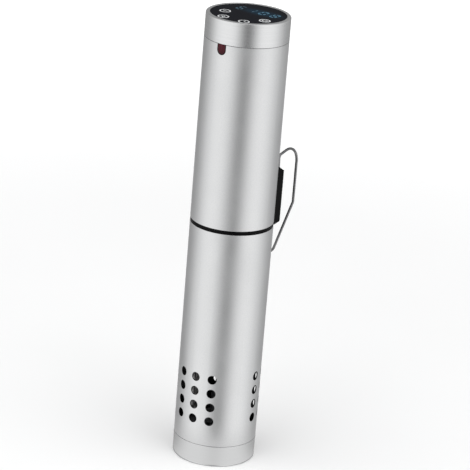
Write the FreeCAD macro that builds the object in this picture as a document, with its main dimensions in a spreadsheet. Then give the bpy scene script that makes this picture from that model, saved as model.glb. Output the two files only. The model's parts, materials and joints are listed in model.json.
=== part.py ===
import FreeCAD, Part
import math
import os
import types

import Sketcher

# Sous vide circulator: a stick that clips to the inside of a pot.
# Millimetres. +Z is up, -Y is the front (indicator lens), +Y is the back (pot clip).
# The origin is on the tube's axis, on the underside of the bottom cap.

V = FreeCAD.Vector

DIMENSIONS = {
    # the whole stick
    "tube_radius": 32.0,
    "overall_height": 355.0,
    "bezel_height": 18.2,
    "cap_height": 16.6,
    "seam_gap": 0.2,
    "housing_wall": 1.6,
    "skirt_wall": 1.0,
    "edge_round": 1.0,
    "cap_round": 1.4,
    "fine_round": 0.2,
    # glass top and its bezel
    "glass_radius": 28.8,
    "glass_thickness": 2.5,
    "glass_recess": 0.15,
    "glass_clearance": 0.1,
    "ledge_width": 2.0,
    "ledge_thickness": 2.0,
    "spigot_wall": 1.4,
    "spigot_depth": 6.8,
    "spigot_clearance": 0.1,
    # indicator lens
    "lens_width": 7.8,
    "lens_drop": 8.3,
    "lens_depth": 2.6,
    "led_radius": 2.4,
    "led_length": 5.0,
    # gasket between the two tubes
    "gasket_bottom": 190.9,
    "gasket_height": 2.9,
    "gasket_inset": 0.15,
    "gasket_bore": 29.5,
    # water holes of the skirt
    "hole_radius": 3.6,
    "hole_pitch": 11.53,
    "hole_top": 72.0,
    "hole_rows": 4,
    "hole_columns": 3,
    "hole_groups": 3,
    "column_angle": 24.8,
    # bottom cap
    "floor_thickness": 2.2,
    "cap_spigot": 7.0,
    "cap_wall": 1.5,
    "hub_radius": 9.0,
    "inlet_radius": 26.0,
    "inlet_angle": 44.0,
    "inlet_count": 6,
    # bulkhead that closes the dry housing
    "bulkhead_bottom": 176.0,
    "bulkhead_floor": 186.0,
    "bulkhead_top": 201.5,
    "bulkhead_rim": 26.5,
    "bulkhead_radius": 30.6,
    "oring_height": 183.1,
    "oring_centre": 29.9,
    "oring_thickness": 1.0,
    "oring_groove": 1.3,
    "oring_seat": 28.8,
    # shaft, bearings and seal
    "shaft_radius": 2.5,
    "shaft_bottom": 14.5,
    "shaft_top": 194.4,
    "running_gap": 0.05,
    "seal_radius": 7.0,
    "seal_height": 4.0,
    "bearing_radius": 8.0,
    "bearing_height": 5.0,
    "bearing_bottom": 180.5,
    "shaft_gap": 0.4,
    "spindle_end": 3.0,
    "coupling_radius": 6.0,
    "coupling_bottom": 188.5,
    "coupling_top": 200.5,
    # motor
    "plate_radius": 29.5,
    "plate_top": 204.0,
    "plate_hole": 7.0,
    "can_radius": 14.0,
    "can_wall": 1.0,
    "can_end": 1.5,
    "small_head_height": 1.6,
    "head_step": 0.5,
    "can_top": 246.0,
    "stator_bore": 9.8,
    "stator_bottom": 211.0,
    "stator_top": 239.0,
    "rotor_radius": 9.2,
    "rotor_shaft": 1.6,
    # heater: six upright legs joined by U turns
    "heater_radius": 3.25,
    "heater_circle": 20.0,
    "heater_low": 106.0,
    "heater_long": 44.6,
    "heater_high": 158.0,
    "heater_end": 193.0,
    "heater_nut": 5.5,
    "heater_nut_height": 4.0,
    "probe_radius": 2.0,
    "probe_circle": 12.0,
    "probe_bottom": 110.0,
    "probe_top": 192.0,
    "probe_collar": 2.0,
    "thermal_fuse_circle": 18.0,
    "thermal_fuse_height": 9.0,
    "level_radius": 1.25,
    "level_bottom": 150.0,
    "level_angle": 100.0,
    # lower bearing on three rods
    "rod_radius": 1.5,
    "rod_circle": 27.3,
    "rod_bottom": 80.5,
    "thread_end": 0.7,
    "rod_top": 184.0,
    "spider_bottom": 84.0,
    "spider_top": 90.0,
    "spider_hub": 7.0,
    "spider_eye": 3.0,
    "bush_radius": 4.2,
    "bush_lip": 0.5,
    # impeller
    "impeller_radius": 15.0,
    "impeller_bottom": 19.0,
    "impeller_top": 30.0,
    "impeller_hub": 5.0,
    "impeller_hub_top": 52.0,
    "blade_count": 7,
    "blade_thickness": 1.2,
    "blade_rake": 25.0,
    # electronics
    "chassis_radius": 29.8,
    "deck_thickness": 2.5,
    "lower_deck": 248.0,
    "upper_deck": 326.0,
    "window_half": 12.0,
    "window_front": 8.6,
    "window_back": 17.6,
    "post_radius": 2.5,
    "rail_inside": 26.0,
    "rail_thickness": 2.2,
    "rail_width": 10.0,
    "board_thickness": 1.6,
    "board_width": 44.0,
    "board_front": 4.0,
    "board_top": 324.0,
    "display_board_bottom": 344.4,
    "display_board_radius": 27.5,
    "icon_circle": 21.6,
    "icon_angle": 45.0,
    "spring_radius": 3.5,
    "spring_wall": 0.6,
    "frame_inside": 26.2,
    "frame_outside": 28.6,
    "digits_half": 19.0,
    "digits_front": 3.5,
    "digits_back": 16.5,
    # cord inlet
    "gland_height": 312.0,
    "gland_radius": 5.0,
    "gland_bore": 3.3,
    "gland_flange": 7.5,
    "gland_nut": 3.0,
    "gland_height_out": 3.25,
    "gland_depth_in": 6.4,
    # pot clip
    "clip_bottom": 191.0,
    "clip_radius": 37.9,
    "clip_gap": 0.05,
    "clip_shoulder": 26.7,
    "clip_corner": 24.7,
    "clip_shoulder_back": 17.7,
    "clip_corner_back": 28.7,
    "clip_top": 238.0,
    "clip_slope": 0.545,
    "screw_low": 211.5,
    "screw_high": 221.0,
    "screw_radius": 1.5,
    "screw_head": 2.8,
    "head_seat": 2.6,
    "head_height": 1.8,
    "socket_depth": 1.1,
    "backing_depth": 2.4,
    "backing_half": 4.5,
    "backing_margin": 4.0,
    "slot_room": 0.5,
    "slot_front": 2.4,
    "slot_back": 1.6,
    "pin_length": 3.2,
    "wire_radius": 1.0,
    "wire_half_width": 20.0,
    "pivot_back": 28.0,
    "pivot_height": 229.0,
    "wire_inner": 27.5,
    "wire_shoulder": 243.0,
    "wire_rise": 249.3,
    "wire_outer": 52.4,
    "wire_kink": 200.0,
    "wire_foot_back": 28.6,
    "wire_foot": 164.0,
    "wire_bow": 38.0,
    "bend_pin": 1.6,
    "bend_small": 3.0,
    "bend_crown": 12.8,
    "bend_foot": 3.5,
    "bend_bow": 24.0,
}

doc = FreeCAD.newDocument("circulator")
sheet = doc.addObject("Spreadsheet::Sheet", "dims")
for row, (alias, number) in enumerate(DIMENSIONS.items(), start=1):
    sheet.set(f"A{row}", alias)
    sheet.set(f"B{row}", str(number))
    sheet.setAlias(f"B{row}", alias)
doc.recompute()


class Size:
    """A size worked out from the sheet: its value, and the expression that binds to it."""

    def __init__(self, text, number):
        self.text = text
        self.number = number

    def __add__(self, other):
        other = as_size(other)
        return Size(f"({self.text} + {other.text})", self.number + other.number)

    def __sub__(self, other):
        other = as_size(other)
        return Size(f"({self.text} - {other.text})", self.number - other.number)

    def __mul__(self, other):
        other = as_size(other)
        return Size(f"({self.text} * {other.text})", self.number * other.number)

    def __truediv__(self, other):
        other = as_size(other)
        return Size(f"({self.text} / {other.text})", self.number / other.number)

    def __rsub__(self, other):
        return as_size(other) - self

    def __neg__(self):
        return 0 - self

    __radd__ = __add__
    __rmul__ = __mul__


def as_size(value):
    return value if isinstance(value, Size) else Size(repr(float(value)), float(value))


def sine(angle):
    angle = as_size(angle)
    return Size(f"sin({angle.text})", math.sin(math.radians(angle.number)))


def cosine(angle):
    angle = as_size(angle)
    return Size(f"cos({angle.text})", math.cos(math.radians(angle.number)))


D = types.SimpleNamespace(**{alias: Size("dims." + alias, float(n)) for alias, n in DIMENSIONS.items()})

# Levels that several parts share.
BEZEL_SEAM = D.overall_height - D.bezel_height
GASKET_TOP = D.gasket_bottom + D.gasket_height
HOUSING_BORE = D.tube_radius - D.housing_wall
SKIRT_BORE = D.tube_radius - D.skirt_wall
SKIRT_BOTTOM = D.cap_height + D.seam_gap
GLASS_TOP = D.overall_height - D.glass_recess
GLASS_BOTTOM = GLASS_TOP - D.glass_thickness
GLASS_SEAT = D.glass_radius + D.glass_clearance
SPIGOT_RADIUS = HOUSING_BORE - D.spigot_clearance
SHAFT_BORE = D.shaft_radius + D.running_gap
DISPLAY_BOARD_TOP = D.display_board_bottom + D.board_thickness
BOARD_BACK = D.board_front + D.board_thickness
LENS_CENTRE = BEZEL_SEAM - D.lens_drop + D.lens_width / 2
ROD_ANGLES = (60, 180, 300)
# A nut across its corners, as a multiple of its bolt's radius.
NUT_TO_BOLT = 3.6
HEATER_LEGS = (30, 90, 150, 210, 270, 330)
HEATER_ENDS = (HEATER_LEGS[0], HEATER_LEGS[-1])
PARTS = []


def bind(thing, prop, size):
    thing.setExpression(prop, as_size(size).text)


def finished(thing, label):
    """Give a sub-part the name of its node and put it on the export list."""
    thing.Label = label
    PARTS.append(thing)
    return thing


def around(radius, azimuth):
    """Point at an azimuth counted from the front (-Y) towards +X."""
    return radius * sine(azimuth), -(radius * cosine(azimuth))


# ---- PartDesign helpers ----

def origin_item(body, role):
    return next(item for item in body.Origin.OriginFeatures if item.Role == role)


def new_sketch(body, role):
    sketch = body.newObject("Sketcher::SketchObject", "sketch")
    sketch.AttachmentSupport = [(origin_item(body, role), "")]
    sketch.MapMode = "FlatFace"
    return sketch


def pin(sketch, kind, geometry, vertex, size):
    """Hold one vertex at a signed distance from the sketch's origin."""
    size = as_size(size)
    if abs(size.number) < 1e-9:
        axis = -2 if kind == "DistanceX" else -1
        sketch.addConstraint(Sketcher.Constraint("PointOnObject", geometry, vertex, axis))
        return
    if size.number > 0:
        rule = Sketcher.Constraint(kind, -1, 1, geometry, vertex, size.number)
        text = size.text
    else:
        rule = Sketcher.Constraint(kind, geometry, vertex, -1, 1, -size.number)
        text = (-size).text
    index = sketch.addConstraint(rule)
    sketch.setExpression(f"Constraints[{index}]", text)


def draw_outline(sketch, points):
    """A closed loop of straight sides, with every corner pinned to the sheet."""
    first = sketch.GeometryCount
    count = len(points)
    corners = [V(as_size(a).number, as_size(b).number, 0) for a, b in points]
    for i in range(count):
        sketch.addGeometry(Part.LineSegment(corners[i], corners[(i + 1) % count]), False)
    for i in range(count):
        following = first + (i + 1) % count
        sketch.addConstraint(Sketcher.Constraint("Coincident", first + i, 2, following, 1))
    for i, (across, up) in enumerate(points):
        pin(sketch, "DistanceX", first + i, 1, across)
        pin(sketch, "DistanceY", first + i, 1, up)


def draw_circle(sketch, across, up, radius):
    centre = V(as_size(across).number, as_size(up).number, 0)
    circle = sketch.addGeometry(Part.Circle(centre, V(0, 0, 1), as_size(radius).number), False)
    index = sketch.addConstraint(Sketcher.Constraint("Radius", circle, as_size(radius).number))
    sketch.setExpression(f"Constraints[{index}]", as_size(radius).text)
    pin(sketch, "DistanceX", circle, 3, across)
    pin(sketch, "DistanceY", circle, 3, up)


def turned(label, outline):
    """A body of revolution about Z from an outline in radius and height."""
    body = finished(doc.addObject("PartDesign::Body", label), label)
    sketch = new_sketch(body, "XZ_Plane")
    draw_outline(sketch, outline)
    turn = body.newObject("PartDesign::Revolution", "turn")
    turn.Profile = sketch
    turn.ReferenceAxis = (sketch, ["V_Axis"])
    turn.Angle = 360
    doc.recompute()
    return body


def ring(label, inner, outer, bottom, top):
    return turned(label, [(inner, bottom), (outer, bottom), (outer, top), (inner, top)])


def round_edges(body, radius, rings):
    """Round the circular edges that lie at the given (radius, height) pairs."""
    base = body.Tip
    wanted = [(as_size(r).number, as_size(z).number) for r, z in rings]
    names = []
    for number, edge in enumerate(base.Shape.Edges, start=1):
        curve = edge.Curve
        if not isinstance(curve, Part.Circle):
            continue
        if math.hypot(curve.Center.x, curve.Center.y) > 0.01:
            continue
        if any(math.hypot(curve.Radius - r, curve.Center.z - z) < 0.02 for r, z in wanted):
            names.append(f"Edge{number}")
    if not names:
        raise RuntimeError(f"{body.Label}: no edge to round")
    rounding = body.newObject("PartDesign::Fillet", "rounding")
    rounding.Base = (base, names)
    bind(rounding, "Radius", radius)
    doc.recompute()


def pocket(body, role, draw, depth, reversed_cut, offset=None):
    """Cut a drawn shape out of a body, and make sure that it took something away."""
    before = body.Shape.Volume
    sketch = new_sketch(body, role)
    if offset:
        sketch.AttachmentOffset = FreeCAD.Placement(V(0, 0, offset.number), FreeCAD.Rotation())
        bind(sketch, "AttachmentOffset.Base.z", offset)
    draw(sketch)
    cutter = body.newObject("PartDesign::Pocket", "pocket")
    cutter.Profile = sketch
    bind(cutter, "Length", depth)
    cutter.Reversed = reversed_cut
    doc.recompute()
    if body.Shape.Volume > before - 0.01:
        raise RuntimeError(f"{body.Label}: a pocket cut nothing")
    return cutter


def front_pocket(body, draw, depth=None):
    return pocket(body, "XZ_Plane", draw, depth or D.tube_radius + 1, True)


def back_pocket(body, draw, offset=None):
    return pocket(body, "XZ_Plane", draw, D.clip_radius * 2, False, offset)


# ---- Part helpers ----

def place(thing, x, y, z, turn=None):
    if turn:
        thing.Placement = FreeCAD.Placement(V(), turn)
    for axis, size in zip("xyz", (x, y, z)):
        bind(thing, f"Placement.Base.{axis}", size)
    return thing


def block(x_range, y_range, z_range):
    """A box between three pairs of coordinates."""
    thing = doc.addObject("Part::Box", "block")
    for prop, (low, high) in zip(("Length", "Width", "Height"), (x_range, y_range, z_range)):
        bind(thing, prop, as_size(high) - low)
    return place(thing, x_range[0], y_range[0], z_range[0])


def post(radius, bottom, top, x=0, y=0):
    """An upright cylinder."""
    thing = doc.addObject("Part::Cylinder", "post")
    bind(thing, "Radius", radius)
    bind(thing, "Height", as_size(top) - bottom)
    return place(thing, x, y, bottom)


def rod_along_y(radius, start, end, x, z):
    thing = doc.addObject("Part::Cylinder", "rod")
    bind(thing, "Radius", radius)
    bind(thing, "Height", as_size(end) - start)
    return place(thing, x, start, z, FreeCAD.Rotation(V(1, 0, 0), -90))


def rod_along_x(radius, start, end, y, z):
    thing = doc.addObject("Part::Cylinder", "rod")
    bind(thing, "Radius", radius)
    bind(thing, "Height", as_size(end) - start)
    return place(thing, start, y, z, FreeCAD.Rotation(V(0, 1, 0), 90))


def hexagon_post(across_corners, bottom, top, x=0, y=0):
    thing = doc.addObject("Part::Prism", "hexagon")
    thing.Polygon = 6
    bind(thing, "Circumradius", across_corners / 2)
    bind(thing, "Height", as_size(top) - bottom)
    return place(thing, x, y, bottom)


def cut(base, tool):
    thing = doc.addObject("Part::Cut", "cut")
    thing.Base = base
    thing.Tool = tool
    return thing


def fuse(pieces):
    thing = doc.addObject("Part::MultiFuse", "union")
    thing.Shapes = pieces
    return thing


def common(pieces):
    thing = doc.addObject("Part::MultiCommon", "common")
    thing.Shapes = pieces
    return thing


def group(pieces):
    """Identical pieces that share one node, each still a solid of its own."""
    thing = doc.addObject("Part::Compound", "group")
    thing.Links = pieces
    return thing


def rounded_wire(points, radii):
    """Straight runs through the points, joined by arcs of the given radii at the inner points."""
    edges = []
    last = points[0]
    for corner, before, after, radius in zip(points[1:-1], points[:-2], points[2:], radii):
        back = (before - corner).normalize()
        ahead = (after - corner).normalize()
        half = back.getAngle(ahead) / 2
        reach = radius / math.tan(half)
        middle = (back + ahead).normalize() * (radius / math.sin(half) - radius)
        start = corner + back * reach
        end = corner + ahead * reach
        if (start - last).Length > 1e-6:
            edges.append(Part.LineSegment(last, start).toShape())
        edges.append(Part.Arc(start, corner + middle, end).toShape())
        last = end
    edges.append(Part.LineSegment(last, points[-1]).toShape())
    return Part.Wire(edges)


def swept_rod(label, points, radii, radius):
    """A round bar along a bent line; its volume is checked against section times length."""
    path = rounded_wire(points, radii)
    heading = (points[1] - points[0]).normalize()
    section = Part.Wire(Part.makeCircle(radius, points[0], heading))
    shape = path.makePipeShell([section], True, False)
    expected = math.pi * radius ** 2 * path.Length
    if abs(shape.Volume - expected) > 0.01 * expected:
        raise RuntimeError(f"{label}: swept volume {shape.Volume:.1f}, expected {expected:.1f}")
    thing = doc.addObject("Part::Feature", label)
    thing.Shape = shape
    thing.Placement = FreeCAD.Placement()
    return finished(thing, label)


# ---- Top: glass, bezel, lens ----

def make_glass():
    glass = ring("display_glass", 0, D.glass_radius, GLASS_BOTTOM, GLASS_TOP)
    round_edges(glass, D.fine_round, [(D.glass_radius, GLASS_TOP)])


def make_bezel():
    """Ring that holds the glass on a ledge and plugs into the upper housing."""
    inside = SPIGOT_RADIUS - D.spigot_wall
    ledge = GLASS_SEAT - D.ledge_width
    ledge_bottom = GLASS_BOTTOM - D.ledge_thickness
    spigot_bottom = BEZEL_SEAM - D.spigot_depth
    bezel = turned("top_bezel", [
        (GLASS_SEAT, D.overall_height),
        (D.tube_radius, D.overall_height),
        (D.tube_radius, BEZEL_SEAM),
        (SPIGOT_RADIUS, BEZEL_SEAM),
        (SPIGOT_RADIUS, spigot_bottom),
        (inside, spigot_bottom),
        (inside, ledge_bottom),
        (ledge, ledge_bottom),
        (ledge, GLASS_BOTTOM),
        (GLASS_SEAT, GLASS_BOTTOM),
    ])
    round_edges(bezel, D.edge_round, [(D.tube_radius, D.overall_height)])
    round_edges(bezel, D.fine_round, [(D.tube_radius, BEZEL_SEAM), (GLASS_SEAT, D.overall_height)])
    half = D.lens_width / 2 + D.spigot_clearance
    # window in the spigot, for the lens and the light behind it
    front_pocket(bezel, lambda sketch: draw_outline(sketch, [
        (-half, spigot_bottom - 1), (half, spigot_bottom - 1), (half, BEZEL_SEAM), (-half, BEZEL_SEAM)]))


def lens_shape(half, top, front, back):
    """Upright slab with a half-round lower end, which runs through the front wall."""
    slab = block((-half, half), (front, back), (LENS_CENTRE, top))
    foot = rod_along_y(half, front, back, 0, LENS_CENTRE)
    return fuse([slab, foot])


def make_lens():
    half = D.lens_width / 2 - D.glass_clearance / 2
    front = -(D.tube_radius + 1)
    back = -(D.tube_radius - D.lens_depth - 1)
    slab = lens_shape(half, BEZEL_SEAM - D.fine_round, front, back)
    bottom = BEZEL_SEAM - D.lens_drop - 1
    outside = post(D.tube_radius, bottom, BEZEL_SEAM)
    inside = post(D.tube_radius - D.lens_depth, bottom - 1, BEZEL_SEAM + 1)
    finished(common([slab, cut(outside, inside)]), "indicator_lens")


# ---- Tubes ----

def make_upper_housing():
    top = BEZEL_SEAM - D.seam_gap
    housing = ring("upper_housing", HOUSING_BORE, D.tube_radius, GASKET_TOP, top)
    round_edges(housing, D.fine_round, [(D.tube_radius, GASKET_TOP), (D.tube_radius, top)])
    half = D.lens_width / 2
    front_pocket(housing, lambda sketch: draw_outline(sketch, [
        (-half, LENS_CENTRE), (half, LENS_CENTRE), (half, BEZEL_SEAM), (-half, BEZEL_SEAM)]))
    front_pocket(housing, lambda sketch: draw_circle(sketch, 0, LENS_CENTRE, half))
    back_pocket(housing, lambda sketch: draw_circle(
        sketch, 0, D.gland_height, D.gland_radius + D.glass_clearance))

    def draw_screw_holes(sketch):
        for height in (D.screw_low, D.screw_high):
            draw_circle(sketch, 0, height, D.screw_radius + D.glass_clearance)

    back_pocket(housing, draw_screw_holes)


def make_gasket():
    outer = D.tube_radius - D.gasket_inset
    gasket = ring("seam_gasket", D.gasket_bore, outer, D.gasket_bottom, GASKET_TOP)
    round_edges(gasket, D.gasket_height / 5, [(outer, D.gasket_bottom), (outer, GASKET_TOP)])


def pattern_around(angle, count, body):
    pattern = doc.addObject("PartDesign::PolarPattern", "pattern")
    pattern.Axis = (origin_item(body, "Z_Axis"), [""])
    bind(pattern, "Angle", angle)
    bind(pattern, "Occurrences", count)
    return pattern


def make_skirt():
    """Lower tube with three groups of water holes, three columns of four to a group."""
    top = D.gasket_bottom - D.seam_gap
    skirt = ring("lower_skirt", SKIRT_BORE, D.tube_radius, SKIRT_BOTTOM, top)
    round_edges(skirt, D.fine_round, [(D.tube_radius, SKIRT_BOTTOM), (D.tube_radius, top)])

    def draw_column(sketch):
        for row_number in range(int(D.hole_rows.number)):
            draw_circle(sketch, 0, D.hole_top - D.hole_pitch * row_number, D.hole_radius)

    column = front_pocket(skirt, draw_column)
    transform = skirt.newObject("PartDesign::MultiTransform", "columns")
    transform.Originals = [column]
    in_group = pattern_around(D.column_angle * (D.hole_columns - 1), D.hole_columns, skirt)
    groups = pattern_around(360, D.hole_groups, skirt)
    for step in (in_group, groups):
        skirt.addObject(step)
    transform.Transformations = [in_group, groups]
    skirt.Tip = transform
    # the middle column of the first group faces the front
    skirt.Placement = FreeCAD.Placement(V(), FreeCAD.Rotation(V(0, 0, 1), -D.column_angle.number))
    bind(skirt, "Placement.Rotation.Angle", -D.column_angle)
    doc.recompute()


def make_bottom_cap():
    """Cup that plugs into the skirt, with six inlet windows round a solid hub."""
    spigot = SKIRT_BORE - D.spigot_clearance
    inside = spigot - D.cap_wall
    spigot_top = D.cap_height + D.cap_spigot
    cap = turned("bottom_cap", [
        (0, 0),
        (D.tube_radius, 0),
        (D.tube_radius, D.cap_height),
        (spigot, D.cap_height),
        (spigot, spigot_top),
        (inside, spigot_top),
        (inside, D.floor_thickness),
        (0, D.floor_thickness),
    ])
    round_edges(cap, D.cap_round, [(D.tube_radius, 0)])
    round_edges(cap, D.fine_round, [(D.tube_radius, D.cap_height)])
    half = D.inlet_angle / 2

    def draw_window(sketch):
        """A six-sided window between two circles, wider outside than inside."""
        outer_x, outer_y = around(D.inlet_radius, half)
        inner_x, inner_y = around(D.hub_radius, half)
        draw_outline(sketch, [
            (inner_x, inner_y), (outer_x, outer_y), (0, -D.inlet_radius),
            (-outer_x, outer_y), (-inner_x, inner_y), (0, -D.hub_radius)])

    window = pocket(cap, "XY_Plane", draw_window, D.floor_thickness + 1, True)
    windows = pattern_around(360, D.inlet_count, cap)
    cap.addObject(windows)
    windows.Originals = [window]
    cap.Tip = windows
    doc.recompute()


# ---- Bulkhead and what it carries into the water ----

def make_bulkhead():
    """Cup between the dry housing and the water, with bores for the shaft, heater and probes."""
    seal_top = D.bulkhead_bottom + D.seal_height + D.running_gap
    neck = D.gasket_bore - D.glass_clearance
    plug = turned("bulkhead", [
        (D.seal_radius, D.bulkhead_bottom),
        (D.bulkhead_radius, D.bulkhead_bottom),
        (D.bulkhead_radius, D.oring_height - D.oring_groove),
        (D.oring_seat, D.oring_height - D.oring_groove),
        (D.oring_seat, D.oring_height + D.oring_groove),
        (D.bulkhead_radius, D.oring_height + D.oring_groove),
        (D.bulkhead_radius, D.gasket_bottom),
        (neck, D.gasket_bottom),
        (neck, GASKET_TOP),
        (SPIGOT_RADIUS, GASKET_TOP),
        (SPIGOT_RADIUS, D.bulkhead_top),
        (D.bulkhead_rim, D.bulkhead_top),
        (D.bulkhead_rim, D.bulkhead_floor),
        (D.bearing_radius, D.bulkhead_floor),
        (D.bearing_radius, seal_top),
        (D.seal_radius, seal_top),
    ])

    def draw_bores(sketch):
        gap = D.running_gap
        for azimuth in HEATER_ENDS:
            draw_circle(sketch, *around(D.heater_circle, azimuth), D.heater_radius + gap)
        for azimuth in (D.level_angle, 360 - D.level_angle):
            draw_circle(sketch, *around(D.probe_circle, azimuth), D.level_radius + gap)
        draw_circle(sketch, 0, D.probe_circle, D.probe_radius + gap)

    pocket(plug, "XY_Plane", draw_bores, D.bulkhead_top, True)

    def draw_rod_bores(sketch):
        for azimuth in ROD_ANGLES:
            draw_circle(sketch, *around(D.rod_circle, azimuth), D.rod_radius + D.running_gap)

    pocket(plug, "XY_Plane", draw_rod_bores, D.rod_top, True)


def make_shaft_fittings():
    seal_bottom = D.bulkhead_bottom
    ring("shaft_seal", SHAFT_BORE, D.seal_radius - D.running_gap, seal_bottom, seal_bottom + D.seal_height)
    ring("upper_bearing", SHAFT_BORE, D.bearing_radius - D.running_gap,
         D.bearing_bottom, D.bearing_bottom + D.bearing_height)
    torus = doc.addObject("Part::Torus", "o_ring")
    bind(torus, "Radius1", D.oring_centre)
    bind(torus, "Radius2", D.oring_thickness)
    finished(place(torus, 0, 0, D.oring_height), "skirt_o_ring")


def make_heater():
    """Tube heater: six legs round the shaft, joined by U turns, with both ends in the bulkhead.

    The first turn at the bottom stays high, and the other two reach down beside the impeller.
    """
    circle = D.heater_circle.number
    # the legs stand 60 degrees apart, so their spacing equals the circle's radius
    bend = circle / 2

    def leg(number, height):
        azimuth = math.radians(HEATER_LEGS[number])
        return V(circle * math.sin(azimuth), -circle * math.cos(azimuth), height)

    high = D.heater_high.number + bend
    low = D.heater_low.number - bend
    deep = D.heater_long.number - bend
    points = [leg(0, D.heater_end.number)]
    for number, turn_height in enumerate((low, high, deep, high, deep)):
        points += [leg(number, turn_height), leg(number + 1, turn_height)]
    points.append(leg(5, D.heater_end.number))
    # two quarter bends make each U turn; a hair under half the spacing keeps a run between them
    radii = [bend - D.running_gap.number] * (len(points) - 2)
    swept_rod("heater_coil", points, radii, D.heater_radius.number)

    nuts = []
    nut_top = D.bulkhead_floor + D.heater_nut_height
    for azimuth in HEATER_ENDS:
        x, y = around(D.heater_circle, azimuth)
        nut = hexagon_post(D.heater_nut * 2, D.bulkhead_floor, nut_top, x, y)
        bore = post(D.heater_radius + D.running_gap, D.bulkhead_floor - 1, nut_top + 1, x, y)
        nuts.append(cut(nut, bore))
    finished(group(nuts), "heater_nuts")


def make_probes():
    x, y = 0, D.probe_circle
    tip = doc.addObject("Part::Sphere", "tip")
    bind(tip, "Radius", D.probe_radius)
    place(tip, x, y, D.probe_bottom)
    stem = post(D.probe_radius, D.probe_bottom, D.probe_top, x, y)
    collar = post(D.probe_radius * 2, D.bulkhead_floor, D.bulkhead_floor + D.probe_collar, x, y)
    finished(fuse([tip, stem, collar]), "temperature_probe")
    rods = []
    for azimuth in (D.level_angle, 360 - D.level_angle):
        x, y = around(D.probe_circle, azimuth)
        rods.append(post(D.level_radius, D.level_bottom, D.probe_top, x, y))
    finished(group(rods), "level_probes")
    fuse_x, fuse_y = around(D.thermal_fuse_circle, 135)
    fuse_top = D.bulkhead_floor + D.thermal_fuse_height
    finished(post(D.probe_radius, D.bulkhead_floor, fuse_top, fuse_x, fuse_y), "thermal_fuse")


def make_lower_bearing():
    """Three-armed spider on rods under the bulkhead, which steadies the long shaft."""
    rods = []
    nuts = []
    arms = [post(D.spider_hub, D.spider_bottom, D.spider_top)]
    bores = [post(D.bush_radius, D.spider_bottom - 1, D.spider_top + 1)]
    for azimuth in ROD_ANGLES:
        x, y = around(D.rod_circle, azimuth)
        rods.append(post(D.rod_radius, D.rod_bottom, D.rod_top, x, y))
        nut = hexagon_post(D.rod_radius * NUT_TO_BOLT, D.rod_bottom + D.thread_end, D.spider_bottom, x, y)
        nuts.append(cut(nut, post(D.rod_radius, D.rod_bottom, D.spider_top, x, y)))
        arms.append(post(D.spider_eye, D.spider_bottom, D.spider_top, x, y))
        arm = doc.addObject("Part::Box", "arm")
        bind(arm, "Length", D.rod_circle)
        bind(arm, "Width", D.spider_eye)
        bind(arm, "Height", D.spider_top - D.spider_bottom)
        # the arm lies along the azimuth, centred on it
        arm.Placement = FreeCAD.Placement(V(), FreeCAD.Rotation(V(0, 0, 1), azimuth - 90))
        side_x, side_y = around(D.spider_eye / 2, azimuth - 90)
        arms.append(place(arm, side_x, side_y, D.spider_bottom))
        bores.append(post(D.rod_radius, D.spider_bottom - 1, D.spider_top + 1, x, y))
    finished(group(rods), "tie_rods")
    finished(group(nuts), "tie_rod_nuts")
    finished(cut(fuse(arms), fuse(bores)), "bearing_spider")
    ring("spider_bush", SHAFT_BORE, D.bush_radius, D.spider_bottom - D.bush_lip, D.spider_top + D.bush_lip)


# ---- Rotating parts ----

def make_rotating_parts():
    shaft = ring("drive_shaft", 0, D.shaft_radius, D.shaft_bottom, D.shaft_top)
    round_edges(shaft, D.fine_round, [(D.shaft_radius, D.shaft_bottom)])
    core = post(D.rotor_radius, D.stator_bottom + 1, D.stator_top - 1)
    spindle = post(D.rotor_shaft, D.shaft_top + D.shaft_gap, D.can_top - D.spindle_end)
    finished(fuse([core, spindle]), "motor_rotor")
    middle = D.shaft_top + D.shaft_gap / 2
    coupling = turned("shaft_coupling", [
        (D.shaft_radius, D.coupling_bottom),
        (D.coupling_radius, D.coupling_bottom),
        (D.coupling_radius, D.coupling_top),
        (D.rotor_shaft, D.coupling_top),
        (D.rotor_shaft, middle),
        (D.shaft_radius, middle),
    ])
    round_edges(coupling, D.fine_round, [(D.coupling_radius, D.coupling_top)])
    make_impeller()


def make_impeller():
    """Open impeller: a long hub, a thin back plate and straight raked blades."""
    hub = post(D.impeller_hub, D.impeller_bottom, D.impeller_hub_top)
    plate = post(D.impeller_radius, D.impeller_top - D.blade_thickness, D.impeller_top)
    blade_bottom = D.impeller_bottom + 1
    blades = []
    count = int(D.blade_count.number)
    for number in range(count):
        azimuth = 360 * number / count
        blade = doc.addObject("Part::Box", "blade")
        bind(blade, "Length", D.impeller_radius - D.shaft_radius)
        bind(blade, "Width", D.blade_thickness)
        bind(blade, "Height", D.impeller_top - blade_bottom)
        heading = azimuth - 90 + D.blade_rake.number
        blade.Placement = FreeCAD.Placement(V(), FreeCAD.Rotation(V(0, 0, 1), heading))
        x, y = around(D.shaft_radius + 1, azimuth)
        blades.append(place(blade, x, y, blade_bottom))
    disc = post(D.impeller_radius, D.impeller_bottom, D.impeller_hub_top)
    trimmed = common([fuse([hub, plate] + blades), disc])
    bore = post(D.shaft_radius, D.impeller_bottom - 1, D.impeller_hub_top + 1)
    finished(cut(trimmed, bore), "impeller")
    nut_bottom = D.shaft_bottom + D.thread_end
    nut = hexagon_post(D.shaft_radius * NUT_TO_BOLT, nut_bottom, D.impeller_bottom)
    finished(cut(nut, post(D.shaft_radius, D.shaft_bottom, D.impeller_bottom + 1)), "impeller_nut")


# ---- Motor ----

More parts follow.
